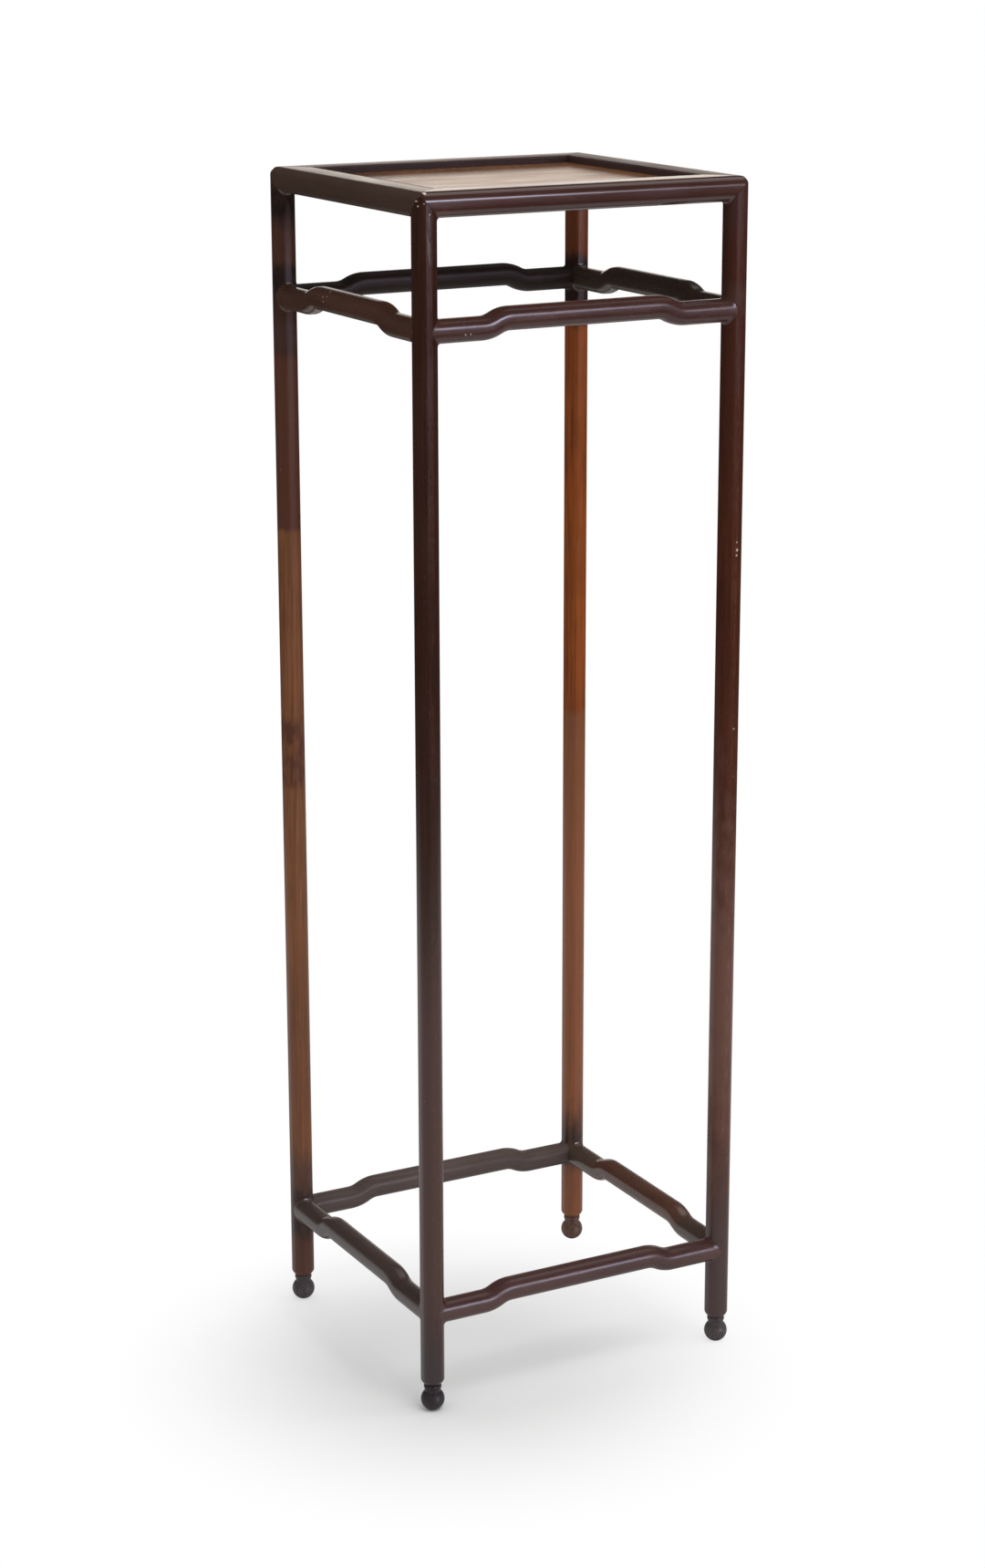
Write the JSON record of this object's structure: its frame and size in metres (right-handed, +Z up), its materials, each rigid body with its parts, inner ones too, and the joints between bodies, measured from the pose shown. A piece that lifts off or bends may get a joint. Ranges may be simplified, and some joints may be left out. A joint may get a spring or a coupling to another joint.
{
  "type": "incense stand",
  "caption": "Tall incense stand with a sunken tray top on slim legs, humpback stretchers near top and foot, and turned ball feet.",
  "frame": {"origin": "on the floor, at the middle of the footprint", "axes": "+Z up, along the legs; X across the wider side, Y from front (-Y) to back (+Y)"},
  "size_m": [0.3262, 0.2982, 1.1],
  "materials": {
    "leg_wood": "satin wax",
    "back_leg_wood": "satin wax",
    "rail_wood": "satin wax",
    "stretcher_wood": "satin wax",
    "foot_wood": "satin wax",
    "panel_wood": "satin wax",
    "batten_wood": "plain planed"
  },
  "bodies": {
    "root": {"leg_front_left": "leg_wood", "leg_front_right": "leg_wood", "leg_back_left": "back_leg_wood", "leg_back_right": "back_leg_wood", "foot_front_left": "foot_wood", "foot_front_right": "foot_wood", "foot_back_left": "foot_wood", "foot_back_right": "foot_wood", "rail_front": "rail_wood", "rail_back": "rail_wood", "rail_left": "rail_wood", "rail_right": "rail_wood", "top_panel": "panel_wood", "panel_batten": "batten_wood", "upper_stretcher_front": "stretcher_wood", "upper_stretcher_back": "stretcher_wood", "upper_stretcher_left": "stretcher_wood", "upper_stretcher_right": "stretcher_wood", "lower_stretcher_front": "stretcher_wood", "lower_stretcher_back": "stretcher_wood", "lower_stretcher_left": "stretcher_wood", "lower_stretcher_right": "stretcher_wood"}
  },
  "joints": []
}
